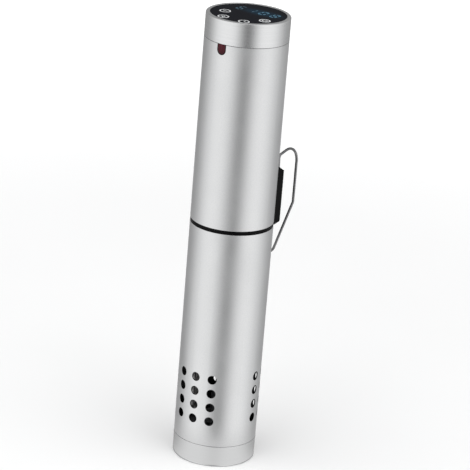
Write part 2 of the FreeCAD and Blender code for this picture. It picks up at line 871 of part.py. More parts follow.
def make_motor():
    plate = ring("motor_plate", D.plate_hole, D.plate_radius, D.bulkhead_top, D.plate_top)
    screw_circle = (D.bulkhead_rim + SPIGOT_RADIUS) / 2

    def draw_holes(sketch):
        for azimuth in ROD_ANGLES:
            draw_circle(sketch, *around(screw_circle, azimuth), D.screw_radius)

    pocket(plate, "XY_Plane", draw_holes, D.plate_top + 1, True)
    screws = []
    for azimuth in ROD_ANGLES:
        x, y = around(screw_circle, azimuth)
        head = post(D.screw_radius, D.plate_top, D.plate_top + D.small_head_height, x, y)
        shank = post(D.screw_radius - D.head_step, D.bulkhead_top, D.plate_top, x, y)
        screws.append(fuse([head, shank]))
    finished(group(screws), "motor_plate_screws")
    inside = D.can_radius - D.can_wall
    floor = D.plate_top + D.can_end
    ceiling = D.can_top - D.can_end
    can = turned("motor_can", [
        (D.rotor_shaft + D.running_gap, D.plate_top),
        (D.can_radius, D.plate_top),
        (D.can_radius, D.can_top),
        (0, D.can_top),
        (0, ceiling),
        (inside, ceiling),
        (inside, floor),
        (D.rotor_shaft + D.running_gap, floor),
    ])
    round_edges(can, D.edge_round, [(D.can_radius, D.can_top)])
    ring("motor_stator", D.stator_bore, inside - D.running_gap, D.stator_bottom, D.stator_top)


# ---- Electronics in the dry housing ----

def make_chassis():
    """Two decks on a pair of side rails, with three posts that carry the display board."""
    reach = D.rail_inside + D.rail_thickness
    seam = D.upper_deck + 1
    edge = D.chassis_radius + 1
    pieces = []
    # the upper deck has a window behind the board, and the lower deck stops there
    for deck, half, back in ((D.lower_deck, edge, edge), (D.upper_deck, D.window_half, D.window_back)):
        plate = post(D.chassis_radius, deck, deck + D.deck_thickness)
        window = block((-half, half), (D.window_front, back), (deck - 1, deck + D.deck_thickness + 1))
        pieces.append(cut(plate, window))
    for low, high in ((D.rail_inside, reach), (-reach, -D.rail_inside)):
        pieces.append(block((low, high), (-D.rail_width / 2, D.rail_width / 2), (D.plate_top, seam)))
    for azimuth in ROD_ANGLES:
        x, y = around(D.icon_circle, azimuth)
        pieces.append(post(D.post_radius, seam, D.display_board_bottom, x, y))
    finished(fuse(pieces), "inner_chassis")


def on_front(x_range, depth, z_range):
    """A block that stands on the front of the main board."""
    return block(x_range, (D.board_front - depth, D.board_front), z_range)


def make_main_board():
    """The upright board, with each component at its own place in millimetres."""
    half = D.board_width / 2
    bottom = D.lower_deck + D.deck_thickness
    finished(block((-half, half), (D.board_front, BOARD_BACK), (bottom, D.board_top)), "main_board")
    finished(on_front((-19, 1), 17, (257, 275)), "transformer")
    finished(on_front((4, 20), 15, (257, 275)), "relay")
    cans = [rod_along_y(5, D.board_front - 18, D.board_front, x, 288) for x in (-14, -2)]
    finished(group(cans), "filter_capacitors")
    finished(on_front((5.5, 8.5), 14, (284, 300)), "triac")
    sink_back = D.board_front - 1
    sink_front = D.board_front - 16
    fins = [block((8.6, 10.6), (sink_front, sink_back), (282, 306))]
    for number in range(5):
        low = 283 + 5 * number
        fins.append(block((10.6, 18), (sink_front, sink_back), (low, low + 1.5)))
    finished(fuse(fins), "heat_sink")
    finished(rod_along_y(6, D.board_front - 6, D.board_front, -12, 309), "buzzer")
    finished(block((-14, 14), (BOARD_BACK, BOARD_BACK + 10), (256, 266)), "terminal_block")
    finished(rod_along_x(2.6, -10, 10, BOARD_BACK + 3.6, 280), "mains_fuse")
    clips = [block((x, x + 3), (BOARD_BACK, BOARD_BACK + 1), (277, 283)) for x in (-10, 7)]
    finished(group(clips), "fuse_clips")


def make_display():
    """Board, carrier, digit block and touch springs under the glass."""
    finished(post(D.display_board_radius, D.display_board_bottom, DISPLAY_BOARD_TOP), "display_board")
    ledge_bottom = GLASS_BOTTOM - D.ledge_thickness
    ring("display_frame", D.frame_inside, D.frame_outside, DISPLAY_BOARD_TOP, ledge_bottom)
    digits_deep = (D.digits_front, D.digits_back)
    digits_high = (DISPLAY_BOARD_TOP, GLASS_BOTTOM - D.fine_round)
    finished(block((-D.digits_half, D.digits_half), digits_deep, digits_high), "digit_display")
    springs = []
    for number in range(4):
        azimuth = D.icon_angle * (number - 1.5)
        x, y = around(D.icon_circle, azimuth)
        outside = post(D.spring_radius, DISPLAY_BOARD_TOP, GLASS_BOTTOM, x, y)
        hollow = D.spring_radius - D.spring_wall
        inside = post(hollow, DISPLAY_BOARD_TOP - 1, GLASS_BOTTOM + 1, x, y)
        springs.append(cut(outside, inside))
    finished(group(springs), "touch_springs")
    front = -(SPIGOT_RADIUS - D.spigot_wall)
    back = front + D.led_length
    lamp = rod_along_y(D.led_radius, front, back, 0, LENS_CENTRE)
    legs = [block((x, x + 0.5), (back - 1, back - 0.5), (LENS_CENTRE, D.display_board_bottom))
            for x in (-1.5, 1)]
    finished(fuse([lamp] + legs), "indicator_led")


def make_cord_gland():
    """Bush in the back wall for the cord, with a nut inside."""
    flange_start = D.tube_radius - D.glass_clearance
    outer = D.tube_radius + D.gland_height_out
    start = HOUSING_BORE - D.gland_depth_in
    sleeve = rod_along_y(D.gland_radius, start, outer, 0, D.gland_height)
    flange = rod_along_y(D.gland_flange, flange_start - 1, outer, 0, D.gland_height)
    bore = rod_along_y(D.gland_bore, start - 1, outer + 1, 0, D.gland_height)
    reach = D.gland_flange + 1
    tube = post(D.tube_radius, D.gland_height - reach, D.gland_height + reach)
    shaped = fuse([sleeve, cut(flange, tube)])
    finished(cut(shaped, bore), "cord_gland")
    nut = doc.addObject("Part::Prism", "nut")
    nut.Polygon = 6
    bind(nut, "Circumradius", D.gland_flange)
    bind(nut, "Height", D.gland_nut)
    place(nut, 0, start + 1, D.gland_height, FreeCAD.Rotation(V(1, 0, 0), -90))
    hole = rod_along_y(D.gland_radius, start, outer, 0, D.gland_height)
    finished(cut(nut, hole), "gland_nut")


# ---- Pot clip ----

def make_clip_base():
    """Saddle on the back of the housing: flat sides, a round back and a sloping top."""
    body = finished(doc.addObject("PartDesign::Body", "clip_base"), "clip_base")
    sketch = new_sketch(body, "XY_Plane")
    rear = D.clip_radius + 1
    draw_outline(sketch, [
        (-D.clip_shoulder, D.clip_shoulder_back),
        (D.clip_shoulder, D.clip_shoulder_back),
        (D.clip_corner, D.clip_corner_back),
        (D.clip_corner, rear),
        (-D.clip_corner, rear),
        (-D.clip_corner, D.clip_corner_back),
    ])
    pad = body.newObject("PartDesign::Pad", "block")
    pad.Profile = sketch
    bind(pad, "Length", D.clip_top)
    doc.recompute()
    # nothing of the pad stays below the clip's lower end
    pocket(body, "XY_Plane", lambda s: draw_outline(s, [
        (-rear, 0), (rear, 0), (rear, rear * 2), (-rear, rear * 2)]), D.clip_bottom, True)
    inner = D.tube_radius + D.clip_gap
    pocket(body, "XY_Plane", lambda s: draw_circle(s, 0, 0, inner), D.clip_top + 1, True)

    def draw_outside(s):
        draw_circle(s, 0, 0, D.clip_radius)
        draw_circle(s, 0, 0, D.clip_radius * 2)

    pocket(body, "XY_Plane", draw_outside, D.clip_top + 1, True)
    # sloping top: everything above a line that falls towards the back
    before = body.Shape.Volume
    slope = new_sketch(body, "YZ_Plane")
    fall = D.clip_slope * (D.clip_radius - D.clip_shoulder_back)
    draw_outline(slope, [
        (D.clip_shoulder_back, D.clip_top),
        (D.clip_radius, D.clip_top - fall),
        (D.clip_radius, D.clip_top + 1),
        (D.clip_shoulder_back, D.clip_top + 1),
    ])
    wedge = body.newObject("PartDesign::Pocket", "slope")
    wedge.Profile = slope
    bind(wedge, "Length", D.clip_shoulder * 3)
    wedge.Midplane = True
    doc.recompute()
    if body.Shape.Volume > before - 1:
        raise RuntimeError("clip_base: the slope cut nothing")

    room = D.wire_radius + D.slot_room
    low = D.pivot_height - room

    def draw_slots(s):
        """Two upright slots where the wire's legs rock."""
        for side in (-1, 1):
            near = side * (D.wire_half_width - room)
            far = side * (D.wire_half_width + room)
            left, right = (near, far) if side > 0 else (far, near)
            front = D.pivot_back - D.slot_front
            back = D.pivot_back + D.slot_back
            draw_outline(s, [(left, front), (right, front), (right, back), (left, back)])

    pocket(body, "XY_Plane", draw_slots, D.clip_top, True, low)

    def draw_pin_bores(s):
        draw_circle(s, D.pivot_back, D.pivot_height, D.wire_radius + D.running_gap)

    pin_end = D.wire_half_width + D.pin_length + D.slot_room
    pocket(body, "YZ_Plane", draw_pin_bores, pin_end * 2, True, -pin_end)

    def draw_screw_holes(s):
        for height in (D.screw_low, D.screw_high):
            draw_circle(s, 0, height, D.screw_radius + D.glass_clearance)

    back_pocket(body, draw_screw_holes)

    def draw_head_seats(s):
        for height in (D.screw_low, D.screw_high):
            draw_circle(s, 0, height, D.screw_head + D.glass_clearance)

    back_pocket(body, draw_head_seats, -(D.clip_radius - D.head_seat))


def make_clip_screws():
    """Two screws through the saddle and the wall into a threaded plate inside."""
    seat = D.clip_radius - D.head_seat
    plate_back = HOUSING_BORE - D.edge_round + D.fine_round
    plate_front = plate_back - D.backing_depth
    screws = []
    for height in (D.screw_low, D.screw_high):
        head = rod_along_y(D.screw_head, seat, seat + D.head_height, 0, height)
        socket_start = seat + D.head_height - D.socket_depth
        socket = rod_along_y(D.screw_radius - D.head_step, socket_start, seat + D.head_seat, 0, height)
        shank = rod_along_y(D.screw_radius, plate_front, seat + D.running_gap, 0, height)
        screws.append(fuse([cut(head, socket), shank]))
    finished(group(screws), "clip_screws")
    plate = block((-D.backing_half, D.backing_half), (plate_front, plate_back),
                  (D.screw_low - D.backing_margin, D.screw_high + D.backing_margin))
    holes = [rod_along_y(D.screw_radius, plate_front - 1, plate_back + 1, 0, height)
             for height in (D.screw_low, D.screw_high)]
    finished(cut(plate, fuse(holes)), "clip_backing_plate")


def make_clip_wire():
    """Spring wire bail: two legs over the pot's rim, joined by a bowed bar that grips the wall."""
    side = D.wire_half_width.number
    pin_end = side + D.pin_length.number
    # the corners of one leg, each a distance back and a height, with the radius of its bend
    leg = [
        (D.pivot_back, D.pivot_height, D.bend_pin),
        (D.wire_inner, D.wire_shoulder, D.bend_small),
        (D.wire_outer, D.wire_rise, D.bend_crown),
        (D.wire_outer, D.wire_kink, D.bend_small),
        (D.wire_foot_back, D.wire_foot, D.bend_foot),
    ]
    corners = [(back.number, height.number) for back, height, bend in leg]
    leg_radii = [bend.number for back, height, bend in leg]
    points = [V(pin_end, *corners[0])]
    points += [V(side, *corner) for corner in corners]
    points.append(V(0, D.wire_bow.number, D.wire_foot.number))
    points += [V(-side, *corner) for corner in reversed(corners)]
    points.append(V(-pin_end, *corners[0]))
    radii = leg_radii + [D.bend_bow.number] + leg_radii[::-1]
    swept_rod("clip_wire", points, radii, D.wire_radius.number)


make_glass()
make_bezel()
make_lens()
make_upper_housing()
make_gasket()
make_skirt()
make_bottom_cap()
make_bulkhead()
make_shaft_fittings()
make_heater()
make_probes()
make_lower_bearing()
make_rotating_parts()
make_motor()
make_chassis()
make_main_board()
make_display()
make_cord_gland()
make_clip_base()
make_clip_screws()
make_clip_wire()

doc.recompute()
for thing in doc.Objects:
    if any(state in ("Invalid", "Error") for state in thing.State):
        raise RuntimeError(f"{thing.Label}: {thing.State}")
for thing in PARTS:
    if thing.Shape.isNull() or not thing.Shape.isValid() or not thing.Shape.Solids:
        raise RuntimeError(f"{thing.Label}: no valid solid")

os.makedirs("parts", exist_ok=True)
for thing in PARTS:
    thing.Shape.exportStep(f"parts/{thing.Label}.step")
    box = thing.Shape.BoundBox
    print(f"{thing.Label:20s} solids {len(thing.Shape.Solids):2d}  volume {thing.Shape.Volume:10.1f}"
          f"  z {box.ZMin:7.2f} to {box.ZMax:7.2f}")
print("nodes", len(PARTS))
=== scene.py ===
import json
import math

import bmesh
import bpy
from mathutils import Matrix, Vector


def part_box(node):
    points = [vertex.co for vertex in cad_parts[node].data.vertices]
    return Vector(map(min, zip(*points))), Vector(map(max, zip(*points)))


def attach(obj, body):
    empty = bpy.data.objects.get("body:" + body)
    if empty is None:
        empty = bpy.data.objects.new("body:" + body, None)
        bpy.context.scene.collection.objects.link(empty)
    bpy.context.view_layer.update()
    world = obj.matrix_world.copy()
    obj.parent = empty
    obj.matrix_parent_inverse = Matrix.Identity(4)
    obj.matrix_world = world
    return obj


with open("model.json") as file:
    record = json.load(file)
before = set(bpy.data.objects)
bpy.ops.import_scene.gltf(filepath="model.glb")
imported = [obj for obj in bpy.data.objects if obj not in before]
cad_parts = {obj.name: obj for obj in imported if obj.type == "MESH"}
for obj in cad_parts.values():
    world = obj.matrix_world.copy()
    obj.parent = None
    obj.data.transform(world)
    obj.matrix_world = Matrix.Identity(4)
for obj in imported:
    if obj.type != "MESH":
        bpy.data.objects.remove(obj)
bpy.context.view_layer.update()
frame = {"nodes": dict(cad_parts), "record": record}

# Looks of the sous vide circulator. Metres; +Z up, -Y the front (lens), +Y the back (clip).

MM = 0.001
nodes = frame["nodes"]

# ---------------------------------------------------------------- materials


def maths_step(tree, operation, first, second=0.0):
    """One Math node, fed by numbers or by other nodes' outputs."""
    step = tree.nodes.new("ShaderNodeMath")
    step.operation = operation
    for socket, value in zip(step.inputs, (first, second)):
        if isinstance(value, (int, float)):
            socket.default_value = value
        else:
            tree.links.new(value, socket)
    return step.outputs["Value"]


# a noise texture's values lie mostly between these
NOISE_LOW = 0.3
NOISE_HIGH = 0.7


class Shader:
    """A node material that is filled in step by step around one Principled shader."""

    def __init__(self, name, colour, metallic=0.0, roughness=0.5):
        self.material = bpy.data.materials.new(name)
        self.material.use_nodes = True
        self.tree = self.material.node_tree
        self.shader = self.tree.nodes["Principled BSDF"]
        self.shader.inputs["Base Color"].default_value = (*colour, 1.0)
        self.shader.inputs["Metallic"].default_value = metallic
        self.shader.inputs["Roughness"].default_value = roughness
        self.relief = None

    def node(self, kind, **settings):
        made = self.tree.nodes.new(kind)
        for key, value in settings.items():
            setattr(made, key, value)
        return made

    def link(self, source, target):
        self.tree.links.new(source, target)

    def place(self, scale=(1, 1, 1)):
        """Object coordinates, stretched."""
        coordinate = self.node("ShaderNodeTexCoord")
        mapping = self.node("ShaderNodeMapping")
        mapping.inputs["Scale"].default_value = scale
        self.link(coordinate.outputs["Object"], mapping.inputs["Vector"])
        return mapping.outputs["Vector"]

    def noise(self, scale, detail=2.0, stretch=(1, 1, 1)):
        texture = self.node("ShaderNodeTexNoise")
        texture.inputs["Scale"].default_value = scale
        texture.inputs["Detail"].default_value = detail
        self.link(self.place(stretch), texture.inputs["Vector"])
        return texture.outputs["Fac"]

    def spread(self, source, low, high):
        """A noise texture's value spread over low to high."""
        span = self.node("ShaderNodeMapRange")
        span.inputs["From Min"].default_value = NOISE_LOW
        span.inputs["From Max"].default_value = NOISE_HIGH
        span.inputs["To Min"].default_value = low
        span.inputs["To Max"].default_value = high
        self.link(source, span.inputs["Value"])
        return span.outputs["Result"]

    def vary_colour(self, source, dark, light):
        ramp = self.node("ShaderNodeValToRGB")
        ramp.color_ramp.elements[0].position = NOISE_LOW
        ramp.color_ramp.elements[1].position = NOISE_HIGH
        ramp.color_ramp.elements[0].color = (*dark, 1.0)
        ramp.color_ramp.elements[1].color = (*light, 1.0)
        self.link(source, ramp.inputs["Fac"])
        self.link(ramp.outputs["Color"], self.shader.inputs["Base Color"])

    def vary_roughness(self, source, low, high):
        self.link(self.spread(source, low, high), self.shader.inputs["Roughness"])

    def bump(self, source, depth, strength=1.0):
        """Adds a relief of a real depth in metres on top of what is there."""
        relief = self.node("ShaderNodeBump")
        relief.inputs["Distance"].default_value = depth
        relief.inputs["Strength"].default_value = strength
        self.link(source, relief.inputs["Height"])
        if self.relief:
            self.link(self.relief, relief.inputs["Normal"])
        self.relief = relief.outputs["Normal"]
        self.link(self.relief, self.shader.inputs["Normal"])

    def maths(self, operation, first, second=0.0):
        return maths_step(self.tree, operation, first, second)

    def axes(self):
        """The X, Y and Z of a point on the piece, in metres."""
        coordinate = self.node("ShaderNodeTexCoord")
        split = self.node("ShaderNodeSeparateXYZ")
        self.link(coordinate.outputs["Object"], split.inputs["Vector"])
        return [split.outputs[axis] for axis in "XYZ"]

    def ramp_between(self, source, start, end):
        """0 up to start, 1 from end on, smooth in between."""
        span = self.node("ShaderNodeMapRange", interpolation_type="SMOOTHSTEP")
        span.inputs["From Min"].default_value = start
        span.inputs["From Max"].default_value = end
        self.link(source, span.inputs["Value"])
        return span.outputs["Result"]

    def tint_where(self, factor, colour):
        """Lay a colour over the present one where the factor is 1."""
        mix = self.node("ShaderNodeMixRGB")
        present = self.shader.inputs["Base Color"]
        if present.links:
            self.link(present.links[0].from_socket, mix.inputs["Color1"])
        else:
            mix.inputs["Color1"].default_value = present.default_value
        mix.inputs["Color2"].default_value = (*colour, 1.0)
        self.link(factor, mix.inputs["Fac"])
        self.link(mix.outputs["Color"], present)

    def set(self, **values):
        for name, value in values.items():
            self.shader.inputs[name.replace("_", " ")].default_value = value

    def turned_round(self, amount):
        """Reflections stretched up and down by marks that run round the Z axis."""
        self.shader.inputs["Anisotropic"].default_value = amount
        tangent = self.node("ShaderNodeTangent", direction_type="RADIAL", axis="Z")
        self.link(tangent.outputs["Tangent"], self.shader.inputs["Tangent"])


def from_axis(look):
    """Distance from the tube's axis."""
    x, y = look.axes()[:2]
    return look.maths("SQRT", look.maths("ADD", look.maths("MULTIPLY", x, x), look.maths("MULTIPLY", y, y)))


# the near-black below is painted shade: the tube's bore, its cut edges and the cap's inside are darkened
# where little light reaches
BORE_PAINTED_SHADE = (0.018, 0.018, 0.019)
SHADE_BLEND = 0.1 * MM
TUBE_SHADE_RADIUS = 31.9 * MM
CAP_SHADE_RADIUS = 31.3 * MM
# the bottom cap gets painted shade inside between these heights, which leaves out the bezel at the top
CAP_SHADE_BOTTOM = 1 * MM
CAP_SHADE_TOP = 200 * MM


def within(look, radius):
    """0 beyond the radius, rising to 1 over the blend just inside it."""
    return look.ramp_between(look.maths("SUBTRACT", 0.0, from_axis(look)), -radius, SHADE_BLEND - radius)


def satin_aluminium():
    """Bead-blasted outside; the bore and nearly all of every cut edge are painted dark as shade."""
    look = Shader("satin_aluminium", (0.8, 0.8, 0.8), 1.0, 0.34)
    blast = look.noise(1500, 3.0)
    cloud = look.noise(35, 3.0)
    look.vary_colour(blast, (0.765, 0.77, 0.775), (0.83, 0.832, 0.834))
    # painted shade over the bore and the walls of the holes
    look.tint_where(within(look, TUBE_SHADE_RADIUS), BORE_PAINTED_SHADE)
    look.vary_roughness(cloud, 0.31, 0.37)
    look.bump(blast, 0.00003, 0.5)
    look.turned_round(0.5)
    return look.material


def turned_aluminium():
    """Fine level rings left by the lathe; the cap is painted dark inside as shade, like the skirt above it.
    """
    look = Shader("turned_aluminium", (0.8, 0.8, 0.8), 1.0, 0.25)
    rings = look.noise(1.0, 2.0, (2, 2, 1300))
    broad = look.noise(1.0, 2.0, (2, 2, 400))
    look.vary_colour(rings, (0.76, 0.765, 0.77), (0.82, 0.822, 0.824))
    height = look.axes()[2]
    inside_cap = look.maths("MULTIPLY", look.maths("GREATER_THAN", height, CAP_SHADE_BOTTOM),
                            look.maths("LESS_THAN", height, CAP_SHADE_TOP))
    # painted shade inside the cap
    look.tint_where(look.maths("MULTIPLY", within(look, CAP_SHADE_RADIUS), inside_cap), BORE_PAINTED_SHADE)
    look.vary_roughness(broad, 0.2, 0.24)
    look.bump(rings, 0.000008, 0.25)
    look.turned_round(0.6)
    return look.material


DIGIT_ROW = 9.2 * MM
DIGIT_START = -13.4 * MM
DIGIT_PITCH = 10.3 * MM
# the painted blue glow round the digits is an oval on the row of digits: its middle in digits, its squeeze
# along the row, its radii
GLOW_SPILL_MIDDLE = 1.9
GLOW_SPILL_SQUEEZE = 0.42
GLOW_SPILL_REACH = 10.5 * MM
GLOW_SPILL_CORE = 1.0 * MM


def black_glass():
    """Near-black glass with a faint painted blue glow round the lit digits, as if their light spilled onto
    it.
    """
    look = Shader("black_glass", (0.004, 0.005, 0.007), 0.0, 0.07)
    look.set(Specular_IOR_Level=0.005)
    dust = look.noise(900, 2.0)
    look.vary_colour(dust, (0.0035, 0.004, 0.006), (0.0065, 0.0075, 0.0105))
    look.vary_roughness(look.noise(60, 2.0), 0.05, 0.1)
    x, y = look.axes()[:2]
    middle = DIGIT_START + GLOW_SPILL_MIDDLE * DIGIT_PITCH
    across = look.maths("MULTIPLY", look.maths("SUBTRACT", x, middle), GLOW_SPILL_SQUEEZE)
    along = look.maths("SUBTRACT", y, DIGIT_ROW)
    squares = look.maths("ADD", look.maths("MULTIPLY", across, across), look.maths("MULTIPLY", along, along))
    distance = look.maths("SQRT", squares)
    painted_glow_spill = look.ramp_between(look.maths("SUBTRACT", 0.0, distance), -GLOW_SPILL_REACH, -GLOW_SPILL_CORE)
    # painted light: the digits' blue glow tinted into the glass
    look.tint_where(painted_glow_spill, (0.006, 0.022, 0.038))
    return look.material


def red_lens():
    """Smoked dark red, with painted shade darkening it towards its edge and its lower end."""
    look = Shader("red_lens", (0.09, 0.012, 0.018), 0.0, 0.16)
    look.set(Coat_Weight=0.12, Coat_Roughness=0.1, Specular_IOR_Level=0.12)
    low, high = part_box("indicator_lens")
    half = (high[0] - low[0]) / 2
    streak = look.noise(1.0, 2.0, (600, 600, 120))
    look.vary_colour(streak, (0.03, 0.003, 0.006), (0.085, 0.008, 0.015))
    look.vary_roughness(streak, 0.12, 0.22)
    x = look.axes()[0]
    z = look.axes()[2]
    # painted shade: the lens darkens towards its edge and below its middle
    drop = look.maths("MAXIMUM", look.maths("SUBTRACT", low[2] + half, z), 0.0)
    squares = look.maths("ADD", look.maths("MULTIPLY", x, x), look.maths("MULTIPLY", drop, drop))
    painted_edge_shade = look.ramp_between(look.maths("SQRT", squares), half * 0.62, half * 0.95)
    look.tint_where(painted_edge_shade, (0.006, 0.003, 0.003))
    return look.material


def plain(name, colour, metallic, roughness, grain, relief, spread=0.12, gloss=0.5):
    """A moulded or machined surface with its own fine grain."""
    look = Shader(name, colour, metallic, roughness)
    look.set(Specular_IOR_Level=gloss)
    texture = look.noise(grain, 3.0)
    cloud = look.noise(grain / 30, 2.0)
    dark = tuple(channel * (1 - spread) for channel in colour)
    light = tuple(min(1.0, channel * (1 + spread)) for channel in colour)
    look.vary_colour(texture, dark, light)
    look.vary_roughness(cloud, roughness - 0.04, roughness + 0.05)
    look.bump(texture, relief, 0.6)
    return look.material


def drawn_steel(name, colour, roughness, scale):
    """Steel with fine marks along its length."""
    look = Shader(name, colour, 1.0, roughness)
    marks = look.noise(1.0, 3.0, scale)
    look.vary_colour(marks, tuple(c * 0.88 for c in colour), tuple(min(1, c * 1.08) for c in colour))
    look.vary_roughness(marks, roughness - 0.05, roughness + 0.07)
    look.bump(marks, 0.00001, 0.4)
    return look.material


def digit_glow(name, strength):
    """The blue light of a digit, a little uneven."""
    look = Shader(name, (0.01, 0.04, 0.06), 0.0, 0.3)
    flicker = look.noise(700, 1.0)
    ramp = look.node("ShaderNodeValToRGB")
    ramp.color_ramp.elements[0].color = (0.042, 0.125, 0.2, 1.0)
    ramp.color_ramp.elements[1].color = (0.065, 0.19, 0.275, 1.0)
    look.link(flicker, ramp.inputs["Fac"])
    look.link(ramp.outputs["Color"], look.shader.inputs["Emission Color"])
    look.set(Emission_Strength=strength)
    return look.material


LOOKS = {
    "satin_aluminium": satin_aluminium(),
    "turned_aluminium": turned_aluminium(),
    "black_glass": black_glass(),
    "red_lens": red_lens(),
    "black_gasket": plain(
        "black_gasket", (0.003, 0.003, 0.0033), 0.0, 0.2, 400, 0.00001, gloss=0.06),
    "black_plastic": plain(
        "black_plastic", (0.003, 0.003, 0.0032), 0.0, 0.5, 1800, 0.00004, gloss=0.03),
    "grey_plastic": plain("grey_plastic", (0.11, 0.113, 0.118), 0.0, 0.45, 1500, 0.00004),
    "spring_wire": drawn_steel("spring_wire", (0.24, 0.24, 0.245), 0.1, (300, 300, 60)),
    "stainless_steel": drawn_steel("stainless_steel", (0.36, 0.355, 0.35), 0.36, (500, 500, 90)),
    "motor_steel": drawn_steel("motor_steel", (0.52, 0.52, 0.5), 0.36, (200, 200, 900)),
    "copper_winding": drawn_steel("copper_winding", (0.72, 0.3, 0.13), 0.3, (60, 60, 2200)),
    "bush_plastic": plain("bush_plastic", (0.72, 0.71, 0.67), 0.0, 0.4, 1200, 0.00002, 0.05),
    "seal_rubber": plain("seal_rubber", (0.016, 0.016, 0.017), 0.0, 0.6, 900, 0.00004),
    "board_green": plain("board_green", (0.012, 0.1, 0.045), 0.0, 0.3, 260, 0.00002, 0.2),
    "component_black": plain("component_black", (0.02, 0.02, 0.021), 0.0, 0.42, 1100, 0.00003),
    "component_yellow": plain("component_yellow", (0.6, 0.38, 0.05), 0.0, 0.45, 700, 0.00003),
    "capacitor_blue": plain("capacitor_blue", (0.02, 0.05, 0.2), 0.0, 0.28, 500, 0.00001),
    "white_nylon": plain("white_nylon", (0.7, 0.7, 0.67), 0.0, 0.45, 1000, 0.00002, 0.04),
}
WHITE_PRINT = plain("white_print", (0.62, 0.63, 0.64), 0.0, 0.5, 2200, 0.000005, 0.1)
GLOW = {"bright": digit_glow("digit_bright", 1.0), "faint": digit_glow("digit_faint", 0.4)}

# every CAD node takes the look of its own slot
for entry in frame["record"]["subparts"]:
    owner = nodes[entry["node"]]
    look = LOOKS[entry["material_slot"]]
    for place in owner.material_slots:
        place.material = look

# ---------------------------------------------------------------- flat prints on the glass

GLASS_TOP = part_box("display_glass")[1][2]
PRINT_THICKNESS = 0.04 * MM


def new_object(name, fill, material):
    """A mesh object made by a function that fills a bmesh."""
    shape = bmesh.new()
    fill(shape)
    bmesh.ops.recalc_face_normals(shape, faces=shape.faces)
    mesh = bpy.data.meshes.new(name)
    shape.to_mesh(mesh)
    shape.free()
    mesh.materials.append(material)
    made = bpy.data.objects.new(name, mesh)
    bpy.context.collection.objects.link(made)
    return made


def new_print(name, fill, material):
    """A print on the glass, which rides on the housing."""
    piece = new_object(name, fill, material)
    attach(piece, "housing")


def slab(shape, outline, bottom, top):
    """A thin closed plate over a flat outline."""
    low = [shape.verts.new((x, y, bottom)) for x, y in outline]
    high = [shape.verts.new((x, y, top)) for x, y in outline]
    shape.faces.new(list(reversed(low)))
    shape.faces.new(high)
    count = len(outline)
    for i in range(count):
        j = (i + 1) % count
        shape.faces.new((low[i], low[j], high[j], high[i]))


def band(shape, centre, inner, outer, start, end, bottom, top, steps=48):
    """A thin closed ring, or an arc of one, drawn in degrees counted from -Y towards +X."""
    whole = end - start >= 360
    count = steps if whole else steps + 1
    corners = []
    for i in range(count):
        angle = math.radians(start + (end - start) * i / steps)
        across, away = math.sin(angle), -math.cos(angle)
        corners.append([
            shape.verts.new((centre[0] + r * across, centre[1] + r * away, z))
            for r, z in ((inner, bottom), (outer, bottom), (outer, top), (inner, top))])
    for i in range(steps):
        here, there = corners[i], corners[(i + 1) % count]
        for k in range(4):
            m = (k + 1) % 4
            shape.faces.new((here[k], here[m], there[m], there[k]))
    if not whole:
        shape.faces.new(corners[0])
        shape.faces.new(list(reversed(corners[-1])))


def bar(shape, centre, length, width, angle, bottom, top):
    """A straight stroke, turned by an angle in degrees."""
    turn = Matrix.Rotation(math.radians(angle), 2)
    corners = ((-1, -1), (1, -1), (1, 1), (-1, 1))
    outline = []
    for a, b in corners:
        spot = turn @ Vector((a * length / 2, b * width / 2))
        outline.append((centre[0] + spot.x, centre[1] + spot.y))
    slab(shape, outline, bottom, top)


ICON_RADIUS = 4.35 * MM
ICON_STROKE = 0.95 * MM
# two pairs of touch keys, the same distance either side of the panel's middle line
PANEL_MIDDLE = 2.0 * MM
ICON_PLACES = {
    "minus": (-18.0 * MM, -7.7 * MM),
    "plus": (-9.3 * MM, -22.2 * MM),
    "clock": (9.3 * MM, -22.2 * MM),
    "power": (18.0 * MM, -7.7 * MM),
}


def draw_symbol(shape, name, centre, bottom, top):
    reach = ICON_RADIUS * 0.9
    stroke = ICON_STROKE * 0.8
    if name in ("minus", "plus"):
        bar(shape, centre, reach, stroke, 0, bottom, top)
    if name == "plus":
        for side in (-1, 1):
            middle = (centre[0], centre[1] + side * (reach / 2 + stroke / 2) / 2)
            bar(shape, middle, (reach - stroke) / 2, stroke, 90, bottom, top)
    if name == "clock":
        middle = (centre[0], centre[1] + reach * 0.22)
        bar(shape, middle, reach * 0.5, stroke, 90, bottom, top)
        side = (centre[0] + reach * 0.2, centre[1])
        bar(shape, side, reach * 0.36, stroke, 0, bottom, top)
    if name == "power":
        band(shape, centre, reach * 0.38, reach * 0.38 + stroke, -140, 140, bottom, top, 32)
        bar(shape, (centre[0], centre[1] + reach * 0.4), reach * 0.45, stroke, 90, bottom, top)


def make_icons():
    top = GLASS_TOP + PRINT_THICKNESS
    for name, (x, y) in ICON_PLACES.items():
        centre = (x + PANEL_MIDDLE, y)
        new_print(
            f"icon_ring_{name}",
            lambda s, c=centre: band(s, c, ICON_RADIUS - ICON_STROKE, ICON_RADIUS, 0, 360, GLASS_TOP, top),
            WHITE_PRINT)
        new_print(
            f"icon_symbol_{name}",
            lambda s, c=centre, n=name: draw_symbol(s, n, c, GLASS_TOP, top),
            WHITE_PRINT)


# Segments in the usual order: top, upper right, lower right, bottom, lower left, upper left, middle.
SEGMENTS = {"0": "abcdef", "1": "bc", "6": "acdefg", "8": "abcdefg"}
DIGIT_WIDTH = 4.6 * MM
DIGIT_HEIGHT = 8.4 * MM
DIGIT_STROKE = 0.8 * MM
DIGIT_LEAN = 0.1
# the first two digits of the reading glow less than the rest
FAINT_DIGITS = 2


